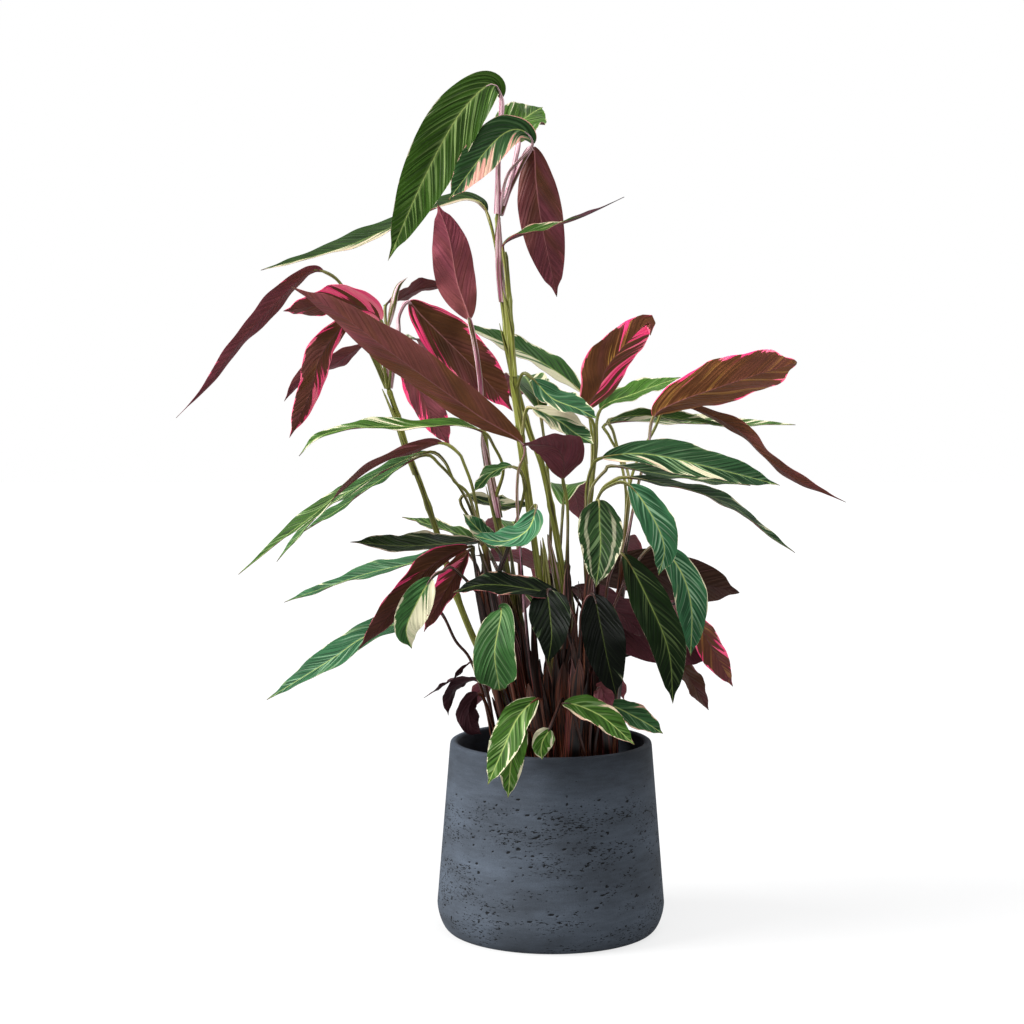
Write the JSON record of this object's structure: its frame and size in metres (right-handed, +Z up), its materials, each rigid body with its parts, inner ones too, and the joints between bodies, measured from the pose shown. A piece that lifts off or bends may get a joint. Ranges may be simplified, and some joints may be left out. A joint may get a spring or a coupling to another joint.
{
  "type": "potted stromanthe triostar",
  "caption": "Bushy prayer plant with arching lance-shaped leaves on cane stems, in a round tapered concrete-look pot filled with soil.",
  "frame": {"origin": "centre of the pot's flat base, where it rests", "axes": "+Z up; the plant's best side faces -Y; +X is to the right when looking along +Y"},
  "size_m": [0.6961, 0.4311, 0.8944],
  "materials": {
    "pot": "matte",
    "soil": "matte",
    "foliage": "satin"
  },
  "bodies": {
    "root": {"pot": "pot", "soil": "soil", "shoot_back": "foliage", "shoot_back_left": "foliage", "shoot_back_right": "foliage", "shoot_centre_cup": "foliage", "shoot_centre_dark": "foliage", "shoot_centre_pale": "foliage", "shoot_front_dark": "foliage", "shoot_left_arching": "foliage", "shoot_left_bottom": "foliage", "shoot_left_fan": "foliage", "shoot_left_hanging": "foliage", "shoot_left_low": "foliage", "shoot_long_leaf": "foliage", "shoot_right_bright": "foliage", "shoot_right_brown": "foliage", "shoot_right_dark": "foliage", "shoot_right_heart": "foliage", "shoot_right_high": "foliage", "shoot_right_veined": "foliage", "shoot_rim_front": "foliage", "shoot_rim_right": "foliage", "shoot_round": "foliage", "shoot_second": "foliage", "shoot_tall": "foliage", "shoot_upright": "foliage"}
  },
  "joints": []
}
